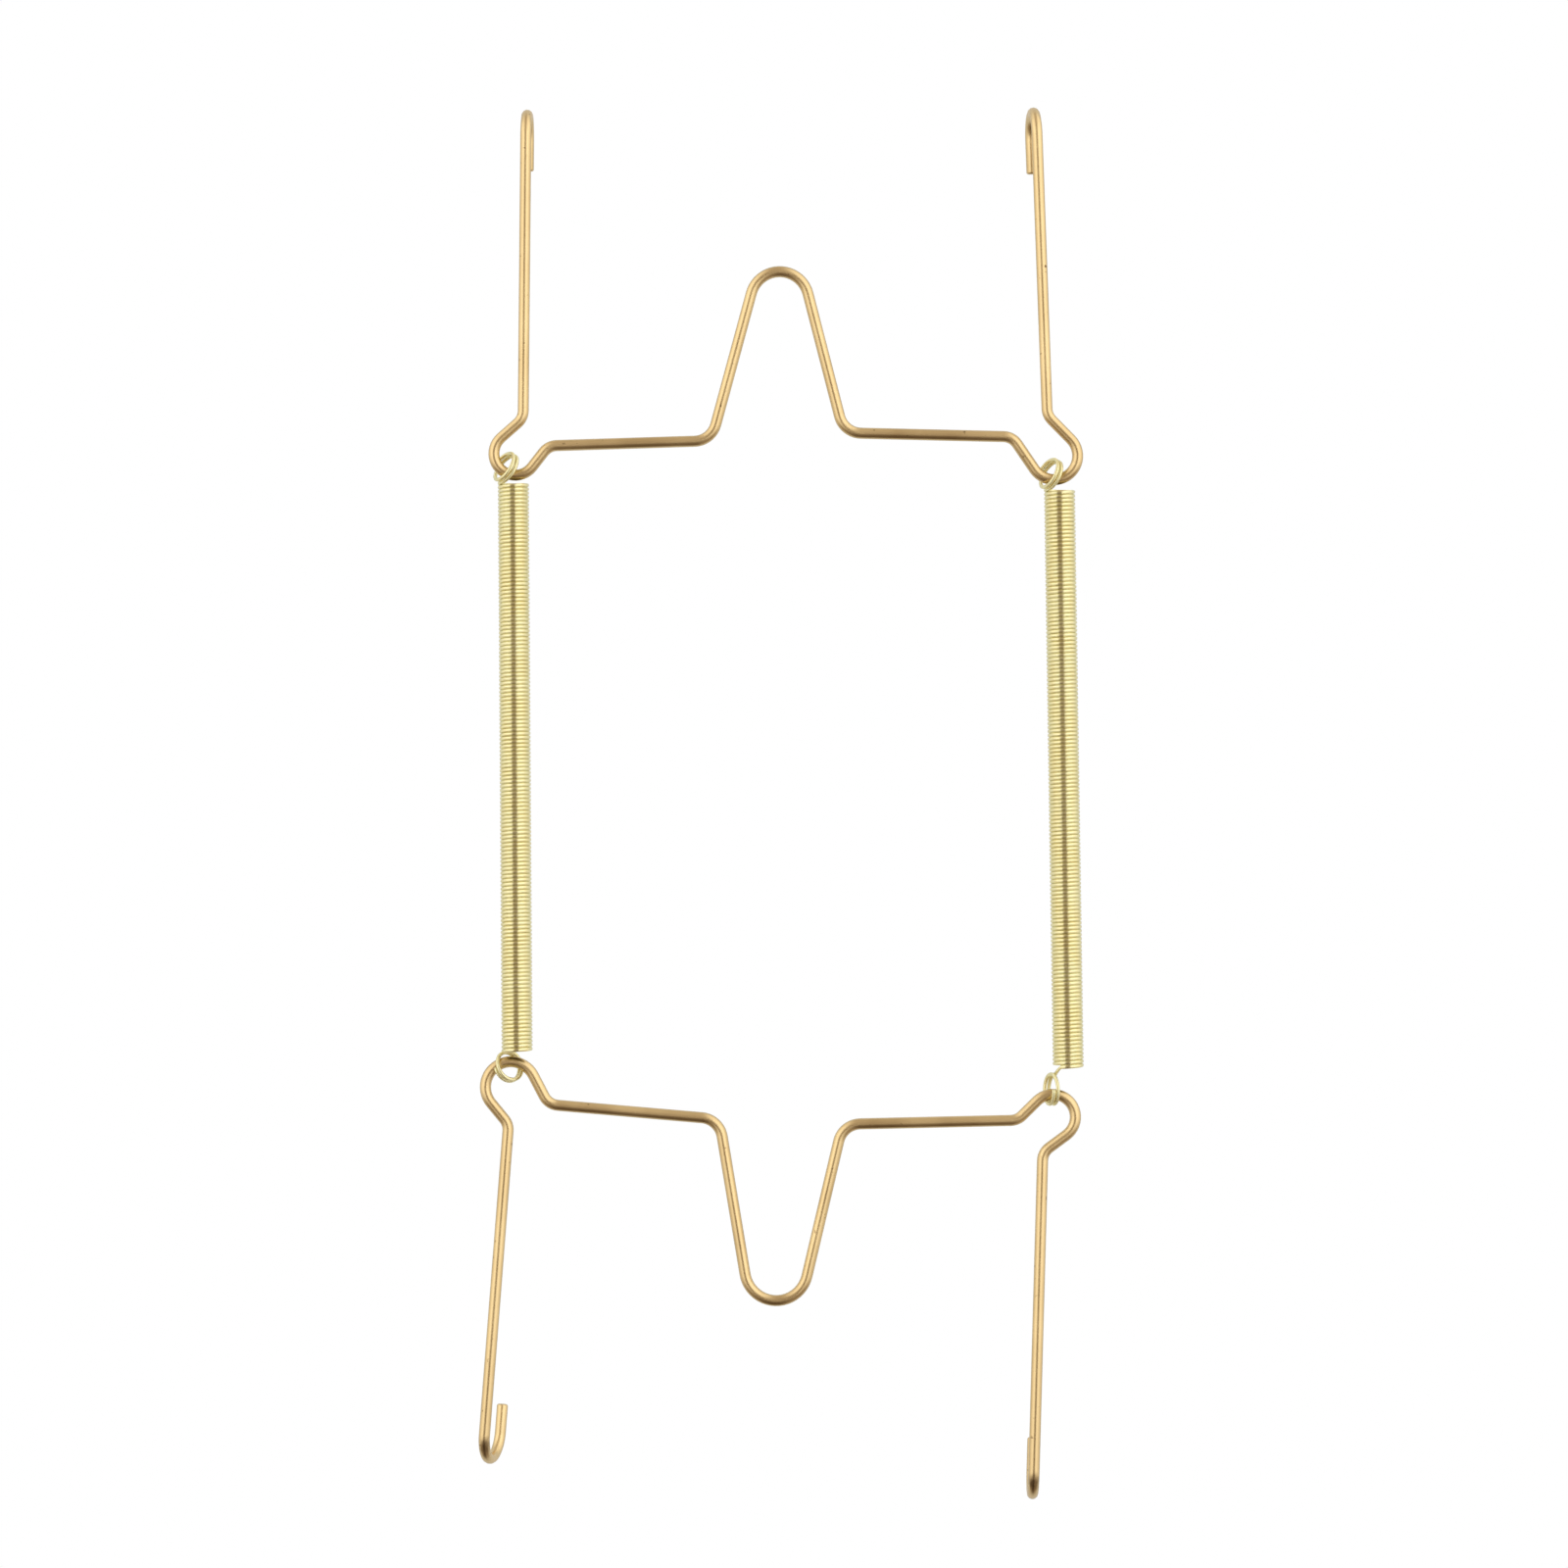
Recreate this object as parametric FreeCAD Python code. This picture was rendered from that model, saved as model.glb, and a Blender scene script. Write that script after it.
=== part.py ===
import FreeCAD, Part
import math
import os
from types import SimpleNamespace

# Spring plate hanger of bent wire, seen from its wall side with the hooks bent away from the viewer.
# Millimetres. X right, Z up, Y away from the viewer. The origin is the inside of the upper peak,
# where the nail bears, in the plane of the wires.

# Main sizes: between the lines of the two springs, from the upper wire's bar to the lower wire's,
# and from a bar to the end of its rim hooks
arm_span = 96.0
bar_drop = 120.0
arm_length = 60.0

# Wire stock of the two frames. The round section is drawn with flats, which keeps the bends light.
wire_d = 2.0
wire_flats = 12
bend_r = 3.0
foot_bend_r = 4.0

# Gap of the rim hooks for the plate's rim
hook_gap = 7.0

# Springs: close-wound body and the double loop bent up from the last turns at each end
spring_d = 5.6
spring_wire_d = 0.7
spring_wire_flats = 8
loop_d = 6.0
loop_turns = 1.75
loop_gap = 0.1
loop_sink = 0.4

# Peaks in the middle of the wires: shift to the right, height over the bar, radius of the crown
upper_peak = SimpleNamespace(x=0.0, height=31.0, crown_r=5.2)
lower_peak = SimpleNamespace(x=-0.6, height=33.6, crown_r=5.6)

# The four halves of the wires, bent by hand and so not quite alike. The foot, shoulder and knee are
# corners of the wire's centre line, and the eye is its round bend. foot_out is measured from the middle,
# the other places across from the line of the spring inwards, and all those along from the bar towards
# the half's own peak. hook_past is the hook's end past the arm's length, hook_reach its tip's distance
# from there, and hook_twist turns the return leg to the right.
upper_left = SimpleNamespace(
    foot_out=12.1,
    foot_up=0.0,
    shoulder_in=7.0,
    shoulder_up=-0.9,
    eye_in=1.1,
    eye_up=-2.3,
    eye_r=3.8,
    knee_in=2.5,
    knee_up=4.0,
    hook_in=3.0,
    hook_past=-0.8,
    hook_reach=10.6,
    hook_twist=1.0,
)
upper_right = SimpleNamespace(
    foot_out=11.4,
    foot_up=1.4,
    shoulder_in=6.7,
    shoulder_up=0.7,
    eye_in=-0.7,
    eye_up=-2.7,
    eye_r=4.2,
    knee_in=0.5,
    knee_up=4.5,
    hook_in=2.5,
    hook_past=-0.4,
    hook_reach=11.5,
    hook_twist=-5.0,
)
lower_left = SimpleNamespace(
    foot_out=10.7,
    foot_up=0.4,
    shoulder_in=7.0,
    shoulder_up=-2.2,
    eye_in=0.3,
    eye_up=-5.3,
    eye_r=4.5,
    knee_in=-0.1,
    knee_up=1.3,
    hook_in=-4.8,
    hook_past=1.9,
    hook_reach=10.4,
    hook_twist=16.0,
)
lower_right = SimpleNamespace(
    foot_out=11.2,
    foot_up=1.3,
    shoulder_in=5.8,
    shoulder_up=0.6,
    eye_in=-0.5,
    eye_up=0.0,
    eye_r=4.0,
    knee_in=1.3,
    knee_up=6.3,
    hook_in=3.0,
    hook_past=8.3,
    hook_reach=10.6,
    hook_twist=0.0,
)

# How each spring loop hangs in its eye. bear is the direction from the eye's centre to where the
# loop crosses the wire, yaw the direction in which the loop faces out from the spring's axis, and
# lean how far it leans back over the axis, in degrees. slack is how far the loop's middle lies from
# the wire's, towards the eye's centre where the wire lies on the spring's side of the loop.
upper_left_loop = SimpleNamespace(bear=238.0, yaw=210.0, lean=32.0, slack=0.78)
upper_right_loop = SimpleNamespace(bear=258.0, yaw=208.0, lean=26.0, slack=0.9)
lower_left_loop = SimpleNamespace(bear=95.0, yaw=142.0, lean=20.0, slack=0.78)
lower_right_loop = SimpleNamespace(bear=92.0, yaw=195.0, lean=0.0, slack=-0.95)

# Derived sizes
wire_r = wire_d / 2
hook_bend_r = (hook_gap + wire_d) / 2
spring_wire_r = spring_wire_d / 2
coil_r = (spring_d - spring_wire_d) / 2
loop_r = (loop_d - spring_wire_d) / 2
loop_pitch = spring_wire_d + loop_gap
upper_bar_z = wire_d - upper_peak.height
lower_bar_z = upper_bar_z - bar_drop

Vector = FreeCAD.Vector
up = Vector(0, 0, 1)
depth = Vector(0, 1, 0)


def in_plane(x, z):
    """Point in the plane of the wires."""
    return Vector(x, 0, z)


def corner(at, r):
    """Corner of the centre line, rounded to radius r."""
    return SimpleNamespace(at=at, r=r, turn=0)


def round_bend(at, r, turn):
    """Bend that follows a circle, turn 1 anticlockwise and -1 clockwise as the viewer sees it."""
    return SimpleNamespace(at=at, r=r, turn=turn)


def leave_and_meet(a, b):
    """Ends of the straight run from one bend to the next, tangent to those that follow a circle."""
    step = b.at - a.at
    ra = a.r * a.turn
    rb = b.r * b.turn
    along = math.atan2(step.z, step.x) + math.asin((ra - rb) / step.Length)
    side = in_plane(math.sin(along), -math.cos(along))
    return a.at + side * ra, b.at + side * rb


def centre_line(bends):
    """Edges of straight runs and tangent arcs through a row of bends, first and last being ends."""
    runs = [leave_and_meet(a, b) for a, b in zip(bends, bends[1:])]
    edges = []
    start = runs[0][0]
    for bend, run, after in zip(bends[1:-1], runs, runs[1:]):
        if bend.turn:
            meet, leave = run[1], after[0]
            toward = (meet - bend.at) + (leave - bend.at)
            swept = (leave - bend.at).cross(meet - bend.at).y * bend.turn
            middle = bend.at + toward.normalize() * math.copysign(bend.r, swept)
        else:
            before = (run[0] - bend.at).normalize()
            onward = (after[1] - bend.at).normalize()
            half = before.getAngle(onward) / 2
            meet = bend.at + before * (bend.r / math.tan(half))
            leave = bend.at + onward * (bend.r / math.tan(half))
            bisector = (before + onward).normalize()
            middle = bend.at + bisector * (bend.r / math.sin(half) - bend.r)
        edges.append(Part.LineSegment(start, meet).toShape())
        edges.append(Part.Arc(meet, middle, leave).toShape())
        start = leave
    edges.append(Part.LineSegment(start, runs[-1][1]).toShape())
    return edges


def placed(half, side, rise, bar_z):
    """The half with its bends as points. side is 1 on the right, and rise is 1 where the peak points up."""
    arm_x = side * arm_span / 2
    half.foot = in_plane(side * half.foot_out, bar_z + rise * half.foot_up)
    half.shoulder = in_plane(arm_x - side * half.shoulder_in, bar_z + rise * half.shoulder_up)
    half.eye = in_plane(arm_x - side * half.eye_in, bar_z + rise * half.eye_up)
    half.knee = in_plane(arm_x - side * half.knee_in, bar_z + rise * half.knee_up)
    half.hook = in_plane(arm_x - side * half.hook_in, bar_z + rise * (arm_length + half.hook_past))
    half.outward = (half.hook - half.knee).normalize()
    half.arm_end = half.hook - half.outward * (wire_r + hook_bend_r)
    half.rise = rise
    return half


def hook(half):
    """Points of a rim hook beyond the arm's end: crown of the bend, start of the return leg, tip."""
    back = FreeCAD.Rotation(half.outward, -half.hook_twist * half.rise).multVec(depth)
    crown = half.arm_end + (back + half.outward) * hook_bend_r
    far = half.arm_end + back * (2 * hook_bend_r)
    return crown, far, far - half.outward * (half.hook_reach - wire_r - hook_bend_r)


def sweep(edges, r, flats):
    """Wire of radius r along a row of edges, with the given number of flats round it."""
    first = edges[0]
    start = first.valueAt(first.FirstParameter)
    heading = first.tangentAt(first.FirstParameter)
    spoke = heading.cross(edges[1].tangentAt(edges[1].LastParameter)).normalize() * r
    turns = [FreeCAD.Rotation(heading, (k + 0.5) * 360 / round(flats)) for k in range(round(flats))]
    corners = [start + turn.multVec(spoke) for turn in turns]
    section = Part.Face(Part.makePolygon(corners + corners[:1]))
    return Part.Wire(edges).makePipe(section)


def bent_wire(left, peak, right, bar_z):
    """One frame wire from hook to hook."""
    rise = left.rise
    crown = in_plane(peak.x, bar_z + rise * (peak.height - wire_r - peak.crown_r))
    bends = [
        corner(left.arm_end, 0),
        corner(left.knee, bend_r),
        round_bend(left.eye, left.eye_r, rise),
        corner(left.shoulder, bend_r),
        corner(left.foot, foot_bend_r),
        round_bend(crown, peak.crown_r, -rise),
        corner(right.foot, foot_bend_r),
        corner(right.shoulder, bend_r),
        round_bend(right.eye, right.eye_r, rise),
        corner(right.knee, bend_r),
        corner(right.arm_end, 0),
    ]
    top, far, tip = hook(left)
    left_hook = [Part.LineSegment(tip, far).toShape(), Part.Arc(far, top, left.arm_end).toShape()]
    top, far, tip = hook(right)
    right_hook = [Part.Arc(right.arm_end, top, far).toShape(), Part.LineSegment(far, tip).toShape()]
    return sweep(left_hook + centre_line(bends) + right_hook, wire_r, wire_flats)


def hang_loop(half, loop):
    """Place of a double loop in its eye: centre, the way it faces, and where it leaves the coil."""
    bear = math.radians(loop.bear)
    inward = in_plane(-math.cos(bear), -math.sin(bear))
    centre = half.eye - inward * half.eye_r + inward * loop.slack
    yaw = math.radians(loop.yaw)
    lean = math.radians(loop.lean)
    out = Vector(math.cos(yaw), math.sin(yaw), 0)
    facing = out * math.cos(lean) + up * (half.rise * math.sin(lean))
    to_spring = (facing * facing.dot(up) - up).normalize() * half.rise
    first_turn = centre - facing * (loop_turns * loop_pitch / 2)
    foot = first_turn + to_spring * loop_r
    return SimpleNamespace(
        hub=first_turn,
        facing=facing,
        to_spring=to_spring,
        axis_end=foot - out * coil_r + up * (half.rise * loop_sink),
    )


def double_loop(hung):
    """The loop's wire: half turns, each leaning half a pitch outwards, from the coil's end round the eye."""
    across = hung.facing.cross(hung.to_spring)
    edges = []
    for k in range(math.ceil(2 * loop_turns)):
        side = (-1) ** k
        middle = hung.hub + hung.facing * (loop_pitch * (k / 2 + 1 / 4))
        spoke = hung.to_spring * (side * loop_r) - hung.facing * (loop_pitch / 4)
        swing = across * (side * spoke.Length)
        span = min(1, 2 * loop_turns - k) * math.pi
        points = [middle + spoke * math.cos(a) + swing * math.sin(a) for a in (0, span / 2, span)]
        edges.append(Part.Arc(*points).toShape())
    return sweep(edges, spring_wire_r, spring_wire_flats)


def spring(upper_half, upper_loop, lower_half, lower_loop):
    """Close-wound spring between two eyes: the coiled body as a tube, with a double loop at each end."""
    top = hang_loop(upper_half, upper_loop)
    bottom = hang_loop(lower_half, lower_loop)
    axis = bottom.axis_end - top.axis_end
    outside = Part.makeCylinder(coil_r + spring_wire_r, axis.Length, top.axis_end, axis)
    bore = Part.makeCylinder(coil_r - spring_wire_r, axis.Length, top.axis_end, axis)
    body = outside.cut(bore)
    return body.fuse([double_loop(top), double_loop(bottom)])


upper_left = placed(upper_left, -1, 1, upper_bar_z)
upper_right = placed(upper_right, 1, 1, upper_bar_z)
lower_left = placed(lower_left, -1, -1, lower_bar_z)
lower_right = placed(lower_right, 1, -1, lower_bar_z)
pieces = {
    "upper_wire": bent_wire(upper_left, upper_peak, upper_right, upper_bar_z),
    "lower_wire": bent_wire(lower_left, lower_peak, lower_right, lower_bar_z),
    "left_spring": spring(upper_left, upper_left_loop, lower_left, lower_left_loop),
    "right_spring": spring(upper_right, upper_right_loop, lower_right, lower_right_loop),
}

os.makedirs("parts", exist_ok=True)
for name, shape in pieces.items():
    shape.exportStep(f"parts/{name}.step")
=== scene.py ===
import math

import bmesh
import bpy
from mathutils import Matrix, Vector
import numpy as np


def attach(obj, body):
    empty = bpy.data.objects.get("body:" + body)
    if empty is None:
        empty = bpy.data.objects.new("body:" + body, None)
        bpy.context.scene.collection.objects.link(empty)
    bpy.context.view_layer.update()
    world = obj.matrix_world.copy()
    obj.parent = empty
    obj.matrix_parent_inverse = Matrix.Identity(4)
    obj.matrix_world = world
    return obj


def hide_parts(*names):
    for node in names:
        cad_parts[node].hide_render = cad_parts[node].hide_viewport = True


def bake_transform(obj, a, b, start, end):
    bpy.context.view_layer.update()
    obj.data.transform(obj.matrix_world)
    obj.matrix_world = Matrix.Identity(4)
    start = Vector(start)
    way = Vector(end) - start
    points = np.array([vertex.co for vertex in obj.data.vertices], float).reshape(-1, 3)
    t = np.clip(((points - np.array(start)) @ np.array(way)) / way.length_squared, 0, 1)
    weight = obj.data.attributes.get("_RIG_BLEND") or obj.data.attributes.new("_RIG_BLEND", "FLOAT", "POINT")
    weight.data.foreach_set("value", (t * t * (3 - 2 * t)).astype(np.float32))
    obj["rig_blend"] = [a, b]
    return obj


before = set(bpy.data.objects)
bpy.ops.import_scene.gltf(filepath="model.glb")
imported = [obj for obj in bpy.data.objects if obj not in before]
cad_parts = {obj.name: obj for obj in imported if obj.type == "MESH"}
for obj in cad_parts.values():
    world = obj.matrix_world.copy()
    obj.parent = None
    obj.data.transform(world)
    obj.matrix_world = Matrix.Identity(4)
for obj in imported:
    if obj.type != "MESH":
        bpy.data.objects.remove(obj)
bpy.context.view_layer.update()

# Upper and lower wires: each is one length of round steel wire, bent to a peak, feet, shoulders, eyes,
# arms and rim hooks. The wire is plated a golden bronze and lacquered, and its ends are sheared off.
TIP_ROUND = 0.00035
TIP_SEGMENTS = 4
SHARP_TURN = math.radians(50)
FLAT_TURN = 1e-3
MERGE = 1e-6
# Centres of the two patches of painted shade on the lower hooks' bends, where the dark surroundings are
# mirrored.
HOOK_SHADE_SPOTS = [(-0.0520, -0.0010, -0.2077), (0.0451, -0.0010, -0.2140)]


def plating_group():
    """Slow changes of tone and polish over a plated wire."""
    plating = bpy.data.node_groups.new("plating", "ShaderNodeTree")
    given = {
        "Place": "NodeSocketVector",
        "Scale": "NodeSocketFloat",
        "Dark": "NodeSocketColor",
        "Pale": "NodeSocketColor",
        "Shiny": "NodeSocketFloat",
        "Dull": "NodeSocketFloat",
    }
    for name, kind in given.items():
        plating.interface.new_socket(name, in_out="INPUT", socket_type=kind)
    plating.interface.new_socket("Colour", in_out="OUTPUT", socket_type="NodeSocketColor")
    plating.interface.new_socket("Roughness", in_out="OUTPUT", socket_type="NodeSocketFloat")
    nodes = plating.nodes
    links = plating.links
    start = nodes.new("NodeGroupInput")
    end = nodes.new("NodeGroupOutput")

    tone = nodes.new("ShaderNodeTexNoise")
    tone.inputs["Detail"].default_value = 3.0
    links.new(start.outputs["Place"], tone.inputs["Vector"])
    links.new(start.outputs["Scale"], tone.inputs["Scale"])
    spread = nodes.new("ShaderNodeMapRange")
    spread.inputs["From Min"].default_value = 0.35
    spread.inputs["From Max"].default_value = 0.65
    links.new(tone.outputs["Fac"], spread.inputs["Value"])

    tint = nodes.new("ShaderNodeMix")
    tint.data_type = "RGBA"
    links.new(spread.outputs["Result"], tint.inputs["Factor"])
    links.new(start.outputs["Dark"], tint.inputs["A"])
    links.new(start.outputs["Pale"], tint.inputs["B"])
    links.new(tint.outputs["Result"], end.inputs["Colour"])

    polish = nodes.new("ShaderNodeMix")
    links.new(spread.outputs["Result"], polish.inputs["Factor"])
    links.new(start.outputs["Shiny"], polish.inputs["A"])
    links.new(start.outputs["Dull"], polish.inputs["B"])
    links.new(polish.outputs["Result"], end.inputs["Roughness"])
    return plating


plating = plating_group()


def plated_wire(name, scale, dark, pale, shiny, dull):
    """A metal with the plating's tone and polish, and nodes named place and skin to build on."""
    material = bpy.data.materials.new(name)
    material.use_nodes = True
    nodes = material.node_tree.nodes
    links = material.node_tree.links
    metal = nodes["Principled BSDF"]
    metal.inputs["Metallic"].default_value = 1.0
    place = nodes.new("ShaderNodeTexCoord")
    place.name = "place"
    skin = nodes.new("ShaderNodeGroup")
    skin.name = "skin"
    skin.node_tree = plating
    skin.inputs["Scale"].default_value = scale
    skin.inputs["Dark"].default_value = (*dark, 1)
    skin.inputs["Pale"].default_value = (*pale, 1)
    skin.inputs["Shiny"].default_value = shiny
    skin.inputs["Dull"].default_value = dull
    links.new(place.outputs["Object"], skin.inputs["Place"])
    links.new(skin.outputs["Colour"], metal.inputs["Base Color"])
    links.new(skin.outputs["Roughness"], metal.inputs["Roughness"])
    return material


def bronze_material():
    """Plated wire under lacquer, with dark flecks, painted shade in two patches at the lower hooks' bends
    and a faintly pitted skin.
    """
    bronze = plated_wire(
        "golden bronze wire", 90.0, (0.68, 0.50, 0.245), (0.78, 0.59, 0.30), 0.29, 0.36
    )
    nodes = bronze.node_tree.nodes
    links = bronze.node_tree.links
    place = nodes["place"]
    metal = nodes["Principled BSDF"]
    metal.inputs["Coat Weight"].default_value = 0.15
    metal.inputs["Coat Roughness"].default_value = 0.12

    pits = nodes.new("ShaderNodeTexNoise")
    pits.inputs["Scale"].default_value = 900.0
    pits.inputs["Detail"].default_value = 2.0
    links.new(place.outputs["Object"], pits.inputs["Vector"])
    fleck = nodes.new("ShaderNodeMapRange")
    fleck.inputs["From Min"].default_value = 0.70
    fleck.inputs["From Max"].default_value = 0.80
    links.new(pits.outputs["Fac"], fleck.inputs["Value"])
    stained = nodes.new("ShaderNodeMix")
    stained.data_type = "RGBA"
    stained.inputs["B"].default_value = (0.16, 0.08, 0.03, 1)
    links.new(fleck.outputs["Result"], stained.inputs["Factor"])
    links.new(nodes["skin"].outputs["Colour"], stained.inputs["A"])

    # Painted shade: two dark patches with ragged edges at the lower hooks' bends stand in for the dark
    # surroundings mirrored there.
    nearest_shade_spot = nodes.new("ShaderNodeMath")
    nearest_shade_spot.operation = "MINIMUM"
    for k, shade_spot in enumerate(HOOK_SHADE_SPOTS):
        reach_to_shade_spot = nodes.new("ShaderNodeVectorMath")
        reach_to_shade_spot.operation = "DISTANCE"
        reach_to_shade_spot.inputs[1].default_value = shade_spot
        links.new(place.outputs["Object"], reach_to_shade_spot.inputs[0])
        links.new(reach_to_shade_spot.outputs["Value"], nearest_shade_spot.inputs[k])
    ragged_shade_reach = nodes.new("ShaderNodeMath")
    ragged_shade_reach.operation = "MULTIPLY_ADD"
    ragged_shade_reach.inputs[1].default_value = 0.003
    links.new(pits.outputs["Fac"], ragged_shade_reach.inputs[0])
    links.new(nearest_shade_spot.outputs["Value"], ragged_shade_reach.inputs[2])
    shade_patch = nodes.new("ShaderNodeMapRange")
    shade_patch.inputs["From Min"].default_value = 0.0015
    shade_patch.inputs["From Max"].default_value = 0.0036
    shade_patch.inputs["To Min"].default_value = 0.85
    shade_patch.inputs["To Max"].default_value = 0.0
    links.new(ragged_shade_reach.outputs["Value"], shade_patch.inputs["Value"])
    painted_shade = nodes.new("ShaderNodeMix")
    painted_shade.data_type = "RGBA"
    painted_shade.inputs["B"].default_value = (0.09, 0.05, 0.025, 1)
    links.new(shade_patch.outputs["Result"], painted_shade.inputs["Factor"])
    links.new(stained.outputs["Result"], painted_shade.inputs["A"])
    links.new(painted_shade.outputs["Result"], metal.inputs["Base Color"])

    pitted = nodes.new("ShaderNodeBump")
    pitted.inputs["Strength"].default_value = 0.08
    pitted.inputs["Distance"].default_value = 0.0001
    links.new(pits.outputs["Fac"], pitted.inputs["Height"])
    links.new(pitted.outputs["Normal"], metal.inputs["Normal"])
    return bronze


bronze = bronze_material()


def bent_wire(node, body):
    """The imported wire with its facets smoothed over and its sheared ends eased."""
    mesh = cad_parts[node].data.copy()
    mesh.name = node
    mesh.materials.clear()
    mesh.materials.append(bronze)
    bm = bmesh.new()
    bm.from_mesh(mesh)
    bmesh.ops.remove_doubles(bm, verts=bm.verts, dist=MERGE)
    bmesh.ops.dissolve_limit(bm, angle_limit=FLAT_TURN, verts=bm.verts, edges=bm.edges)
    ends = [e for e in bm.edges if e.calc_face_angle(0) > SHARP_TURN]
    bmesh.ops.bevel(
        bm,
        geom=ends,
        offset=TIP_ROUND,
        affect="EDGES",
        segments=TIP_SEGMENTS,
        profile=0.5,
        material=-1,
    )
    for face in bm.faces:
        face.smooth = True
        face.material_index = 0
    bm.to_mesh(mesh)
    bm.free()
    wire = bpy.data.objects.new(node + "_bent", mesh)
    bpy.context.scene.collection.objects.link(wire)
    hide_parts(node)
    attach(wire, body)


bent_wire("upper_wire", "upper_wire")
bent_wire("lower_wire", "lower_wire")

# Springs: close-wound extension springs of fine brassed steel wire, one on each side. The last turns at
# each end are bent up into a double loop, hung in an eye of the upper wire and one of the lower wire.
MM = 0.001
SPRING_WIRE_R = 0.35
COIL_R = 2.45
COIL_PITCH = 0.7
LOOP_R = 2.65
LOOP_TURNS = 1.75
LOOP_PITCH = 0.8
NECK_TURNS = 0.1
WIRE_SIDES = 8
COIL_STEPS = 20
LOOP_STEPS = 28
UP = Vector((0, 0, 1))


def brass_material():
    """Plated wire whose drawn skin spreads its shine across the strand."""
    brass = plated_wire(
        "pale brass spring wire", 260.0, (0.97, 0.88, 0.48), (1.0, 0.94, 0.56), 0.34, 0.38
    )
    nodes = brass.node_tree.nodes
    metal = nodes["Principled BSDF"]
    metal.inputs["Anisotropic"].default_value = 1.0
    across = nodes.new("ShaderNodeCombineXYZ")
    across.inputs["Z"].default_value = 1.0
    brass.node_tree.links.new(across.outputs["Vector"], metal.inputs["Tangent"])
    return brass


brass = brass_material()


class Loop:
    """Where a spring's double loop hangs in its eye.

    bear, yaw and lean are degrees, rise is 1 at the top and -1 at the bottom, the rest are millimetres.
    """

    def __init__(self, eye_x, eye_z, eye_r, bear, yaw, lean, slack, neck, rise):
        bear, yaw, lean = math.radians(bear), math.radians(yaw), math.radians(lean)
        to_wire = Vector((math.cos(bear), 0, math.sin(bear)))
        centre = Vector((eye_x, 0, eye_z)) + to_wire * (eye_r - slack)
        out = Vector((math.cos(yaw), math.sin(yaw), 0))
        facing = out * math.cos(lean) + UP * (rise * math.sin(lean))
        to_spring = (facing * facing.z - UP).normalized() * rise
        self.yaw = yaw
        self.neck = neck
        self.facing = facing
        self.across = facing.cross(to_spring)
        self.hub = centre - facing * (LOOP_TURNS * LOOP_PITCH / 2)
        self.foot = self.hub + to_spring * LOOP_R
        self.axis_end = self.foot - out * COIL_R


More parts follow.
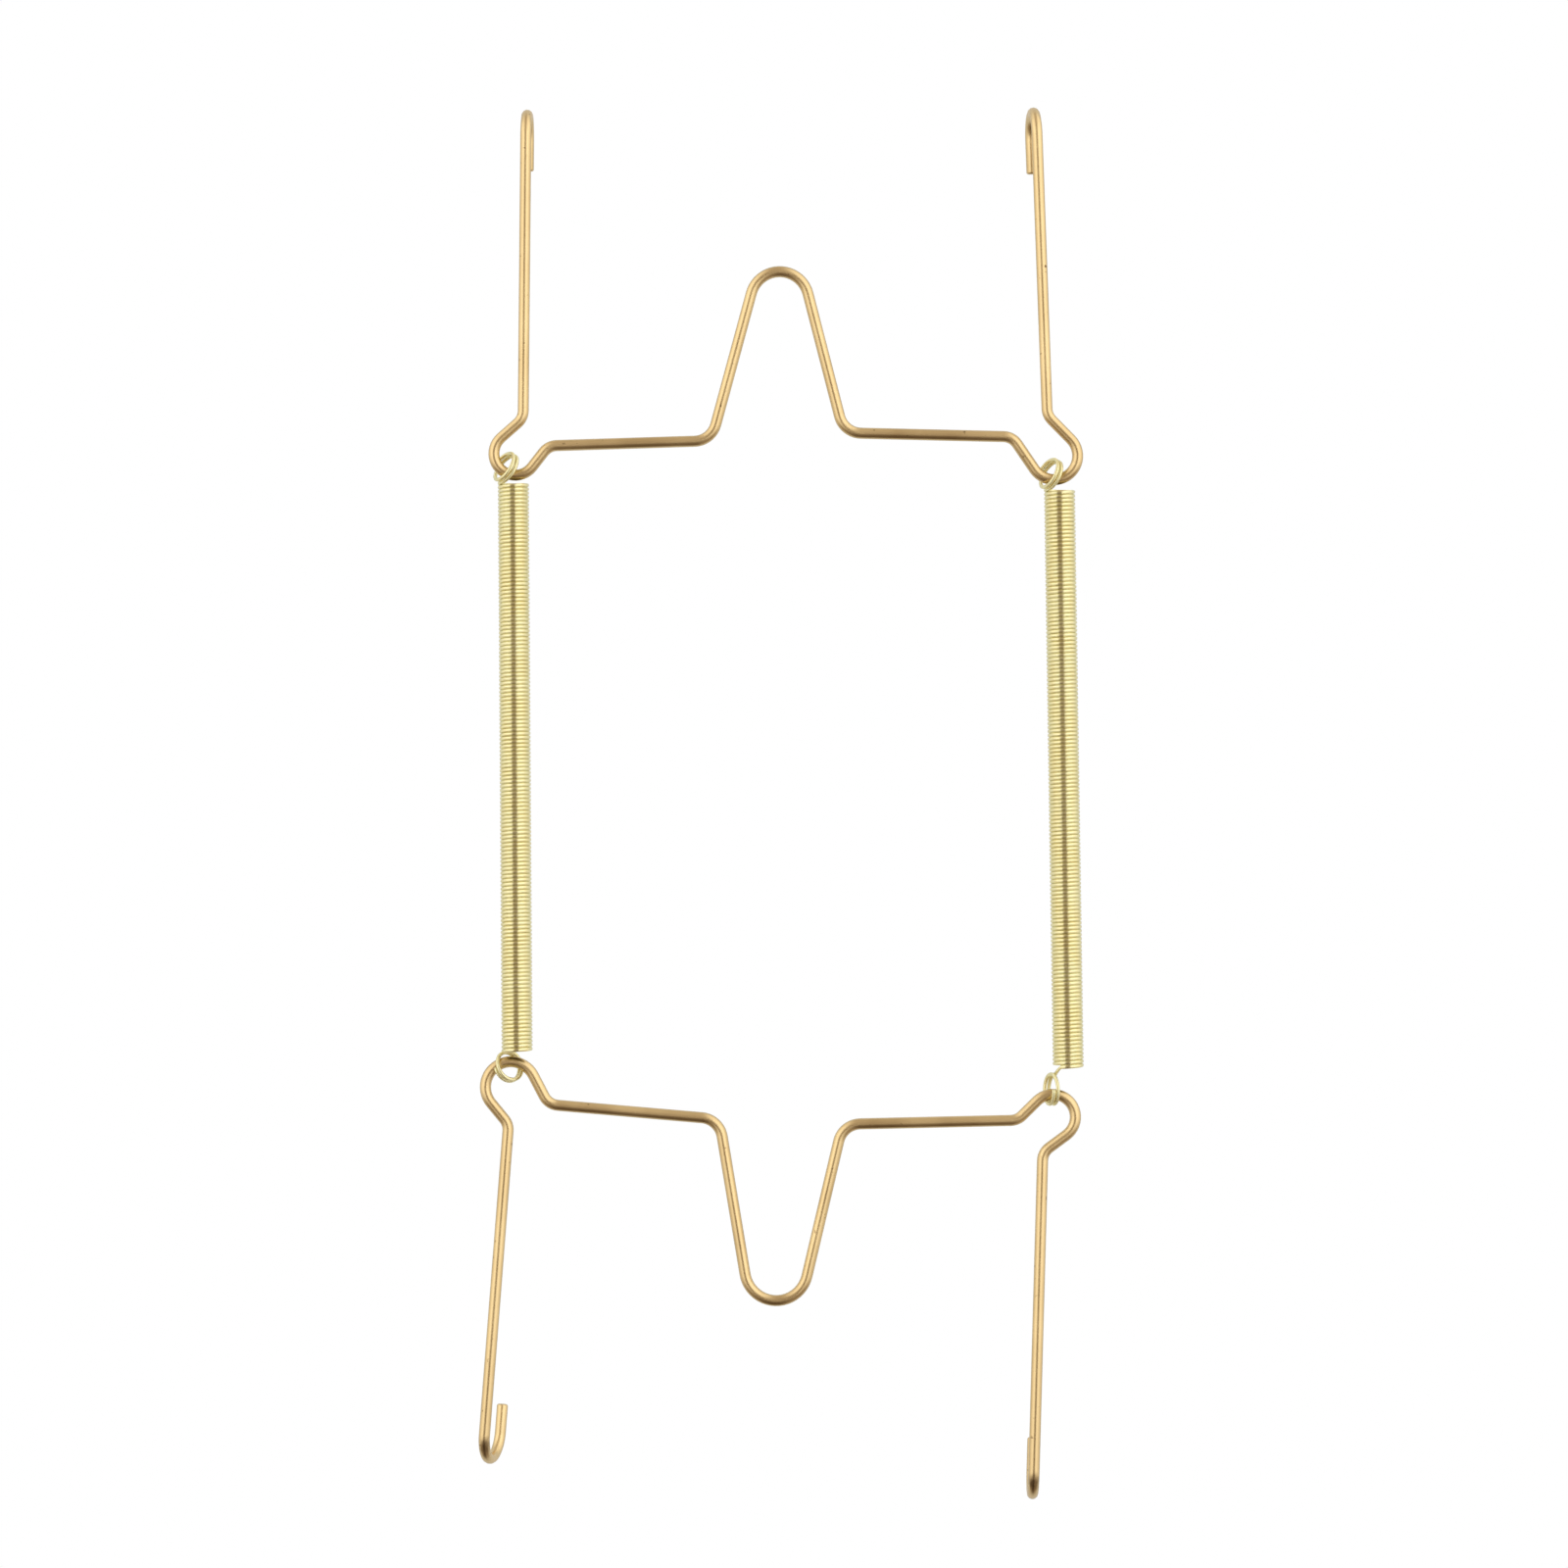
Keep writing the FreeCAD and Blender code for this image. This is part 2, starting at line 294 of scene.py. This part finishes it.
def coiled_spring(node, top, bottom):
    """The whole spring as one wire: upper loop, neck, stacked turns, part of a turn, neck, lower loop."""
    axis = bottom.axis_end - top.axis_end
    down = axis.normalized()
    part_turn = (top.yaw - bottom.yaw) / math.tau % 1
    coiled = axis.length - top.neck - bottom.neck
    full_turns = round(coiled / COIL_PITCH - part_turn)
    pitch = coiled / (full_turns + part_turn)
    turned = top.across.to_track_quat("Z", "Y").to_matrix().to_4x4()
    section = Matrix.Translation(top.foot) @ turned
    whole = bmesh.new()
    share = whole.verts.layers.float.new("share")

    def wound(start, *windings):
        """Wire wound on from the coil's top ring, which is first moved to its start."""
        bm = bmesh.new()
        bmesh.ops.create_circle(bm, segments=WIRE_SIDES, radius=SPRING_WIRE_R, matrix=start @ section)
        ring = bm.verts[:] + bm.edges[:]
        for centre, about, turns, travel, steps_a_turn in windings:
            steps = round(turns * steps_a_turn)
            spun = bmesh.ops.spin(
                bm,
                geom=ring,
                cent=centre,
                axis=about,
                dvec=travel / steps,
                angle=turns * math.tau,
                steps=steps,
            )
            ring = spun["geom_last"]
        mesh = bpy.data.meshes.new("wound")
        bm.to_mesh(mesh)
        bm.free()
        return mesh

    def lay(mesh, drop):
        """Adds wound wire, lowered by some turns, with its share of the spring's stretch."""
        start = len(whole.verts)
        whole.from_mesh(mesh)
        whole.verts.ensure_lookup_table()
        added = whole.verts[start:]
        bmesh.ops.translate(whole, vec=down * pitch * drop, verts=added)
        for first in range(0, len(added), WIRE_SIDES):
            ring = added[first : first + WIRE_SIDES]
            middle = sum((v.co for v in ring), Vector()) / WIRE_SIDES
            along = (middle - top.axis_end).dot(down) / axis.length
            for v in ring:
                v[share] = min(max(along, 0.0), 1.0)

    def coil(turns):
        """Close turns of the coil."""
        return top.axis_end, down, turns, down * pitch * turns, COIL_STEPS

    def neck(end):
        """The part of a turn between coil and loop, drawn out by the end's neck."""
        return top.axis_end, down, NECK_TURNS, down * (pitch * NECK_TURNS + end.neck), LOOP_STEPS

    def loop(end):
        """The double loop at an end."""
        return end.hub, end.facing, LOOP_TURNS, end.facing * (LOOP_TURNS * LOOP_PITCH), LOOP_STEPS

    at_top = Matrix.Identity(4)
    to_axis = Matrix.Translation(top.axis_end)
    neck_turned = to_axis @ Matrix.Rotation(NECK_TURNS * math.tau, 4, down) @ to_axis.inverted()
    past_neck = Matrix.Translation(down * (pitch * NECK_TURNS + top.neck)) @ neck_turned
    stacked = full_turns - math.ceil(2 * NECK_TURNS)
    to_last = Matrix.Translation(down * pitch * stacked) @ past_neck
    last_turns = full_turns + part_turn - stacked - 2 * NECK_TURNS

    lay(wound(at_top, loop(top)), 0)
    lay(wound(at_top, neck(top)), 0)
    turn = wound(past_neck, coil(1))
    for k in range(stacked):
        lay(turn, k)
    lay(wound(to_last, coil(last_turns), neck(bottom), loop(bottom)), 0)
    bmesh.ops.remove_doubles(whole, verts=whole.verts, dist=SPRING_WIRE_R / 100)
    bmesh.ops.holes_fill(whole, edges=whole.edges, sides=WIRE_SIDES)
    bmesh.ops.recalc_face_normals(whole, faces=whole.faces)
    bmesh.ops.scale(whole, vec=(MM, MM, MM), verts=whole.verts)
    for face in whole.faces:
        face.smooth = len(face.verts) == 4
    mesh = bpy.data.meshes.new(node)
    whole.to_mesh(mesh)
    whole.free()
    mesh.materials.append(brass)
    spring = bpy.data.objects.new(node + "_coil", mesh)
    bpy.context.scene.collection.objects.link(spring)
    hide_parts(node)
    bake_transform(spring, "springs", "lower_wire", top.axis_end * MM, bottom.axis_end * MM)
    for weight, laid in zip(mesh.attributes["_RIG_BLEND"].data, mesh.attributes["share"].data):
        weight.value = laid.value


coiled_spring(
    "left_spring",
    Loop(eye_x=-46.9, eye_z=-31.3, eye_r=3.8, bear=234, yaw=212, lean=32, slack=0.78, neck=0.1, rise=1),
    Loop(eye_x=-47.7, eye_z=-143.7, eye_r=4.5, bear=95, yaw=133, lean=20, slack=0.78, neck=0, rise=-1),
)
coiled_spring(
    "right_spring",
    Loop(eye_x=48.7, eye_z=-31.7, eye_r=4.2, bear=258, yaw=208, lean=26, slack=0.9, neck=0.1, rise=1),
    Loop(eye_x=48.5, eye_z=-149, eye_r=4, bear=92, yaw=200, lean=0, slack=-0.95, neck=1.2, rise=-1),
)

# Floor: a plain pale studio floor of painted board, lying level 8 cm below the lowest hook.
# It takes the soft shadow, and the metal doesn't mirror it.
FLOOR_Z = -0.30
FLOOR_R = 0.45
FLOOR_SIDES = 96
floor_paint = bpy.data.materials.new("pale floor")
floor_paint.use_nodes = True
painted = floor_paint.node_tree.nodes["Principled BSDF"]
painted.inputs["Base Color"].default_value = (0.9, 0.9, 0.9, 1)
painted.inputs["Roughness"].default_value = 0.8
bm = bmesh.new()
level_place = Matrix.Translation((0, 0, FLOOR_Z))
bmesh.ops.create_circle(bm, cap_ends=True, segments=FLOOR_SIDES, radius=FLOOR_R, matrix=level_place)
floor_mesh = bpy.data.meshes.new("floor")
bm.to_mesh(floor_mesh)
bm.free()
floor_mesh.materials.append(floor_paint)
floor = bpy.data.objects.new("floor", floor_mesh)
bpy.context.scene.collection.objects.link(floor)
floor.visible_glossy = False

# Light: plain white from all round. Metal mirrors a tent with bright panels to the left and right, a dark
# gap where the camera stands, less light from above, little from below and pale cloth behind.
LEFT_PANEL = (-0.85, -0.42)
CAMERA_GAP = (-0.30, 0.16)
RIGHT_PANEL = (0.28, 0.80)
PANEL_EDGE = 0.7
CLOTH = (0.45, 0.45, 0.45, 1)
TENT_LEVEL = 1.65
world = bpy.data.worlds.new("light tent")
bpy.context.scene.world = world
world.use_nodes = True
nodes = world.node_tree.nodes
links = world.node_tree.links
background = nodes["Background"]
direction = nodes.new("ShaderNodeTexCoord")
split = nodes.new("ShaderNodeSeparateXYZ")
links.new(direction.outputs["Generated"], split.inputs["Vector"])


def tent_ramp(output, stops):
    """Light along one axis of the tent, from -1 to 1, a little warmer where it is dim."""
    spread = nodes.new("ShaderNodeMapRange")
    spread.inputs["From Min"].default_value = -1.0
    links.new(split.outputs[output], spread.inputs["Value"])
    ramp = nodes.new("ShaderNodeValToRGB")
    for place, level in stops:
        if abs(place) == 1:
            stop = ramp.color_ramp.elements[0 if place < 0 else -1]
        else:
            stop = ramp.color_ramp.elements.new((place + 1) / 2)
        stop.color = (level, level**1.15, level**1.3, 1)
    links.new(spread.outputs["Result"], ramp.inputs["Fac"])
    return ramp


def blended(low, high, share):
    """Two lights of the tent, mixed by a ramp."""
    mix = nodes.new("ShaderNodeMix")
    mix.data_type = "RGBA"
    links.new(share.outputs["Color"], mix.inputs["Factor"])
    links.new(low, mix.inputs["A"])
    links.new(high, mix.inputs["B"])
    return mix.outputs["Result"]


def panels(left, gap, right):
    """Light across the tent: the left panel, the gap round the camera and the right panel."""
    stops = [(-1.0, PANEL_EDGE * left)]
    for span, level in ((LEFT_PANEL, left), (CAMERA_GAP, gap), (RIGHT_PANEL, right)):
        stops += [(place, level) for place in span]
    stops.append((1.0, PANEL_EDGE * right))
    return tent_ramp("X", stops).outputs["Color"]


from_below = tent_ramp("Z", [(-1.0, 0.0), (-0.55, 0.0), (-0.12, 1.0), (1.0, 1.0)])
from_above = tent_ramp("Z", [(-1.0, 0.0), (0.4, 0.0), (0.85, 1.0), (1.0, 1.0)])
behind = tent_ramp("Y", [(-1.0, 0.0), (0.1, 0.0), (0.4, 1.0), (1.0, 1.0)])
tent = blended(panels(0.19, 0.08, 0.23), panels(0.95, 0.22, 1.0), from_below)
tent = blended(tent, panels(0.7, 0.33, 0.8), from_above)
back = nodes.new("ShaderNodeRGB")
back.outputs["Color"].default_value = CLOTH
tent = blended(tent, back.outputs["Color"], behind)
lit = nodes.new("ShaderNodeVectorMath")
lit.operation = "SCALE"
lit.inputs["Scale"].default_value = TENT_LEVEL
links.new(tent, lit.inputs["Vector"])
ray = nodes.new("ShaderNodeLightPath")
shown = nodes.new("ShaderNodeMix")
shown.data_type = "RGBA"
shown.inputs["A"].default_value = (1, 1, 1, 1)
links.new(ray.outputs["Is Glossy Ray"], shown.inputs["Factor"])
links.new(lit.outputs["Vector"], shown.inputs["B"])
links.new(shown.outputs["Result"], background.inputs["Color"])

# Camera: square on to the wall side of the hanger, level and far off with a long lens, so that the picture
# is nearly flat. Its shift sideways and in height puts the inside of the upper crown at MID_PX.
IMAGE_PX = 1600
PX_PER_MM = 5.75
MID_PX = Vector((795.5, 283.0))
CAMERA_FAR = 1.2
SENSOR = 36.0
lens = bpy.data.cameras.new("camera")
lens.sensor_width = SENSOR
lens.lens = SENSOR * CAMERA_FAR / (IMAGE_PX / PX_PER_MM * MM)
camera = bpy.data.objects.new("camera", lens)
bpy.context.scene.collection.objects.link(camera)
camera.location = (
    (IMAGE_PX / 2 - MID_PX.x) / PX_PER_MM * MM,
    -CAMERA_FAR,
    (MID_PX.y - IMAGE_PX / 2) / PX_PER_MM * MM,
)
camera.rotation_euler = (math.radians(90), 0, 0)
bpy.context.scene.camera = camera
bpy.context.scene.view_settings.view_transform = "Standard"
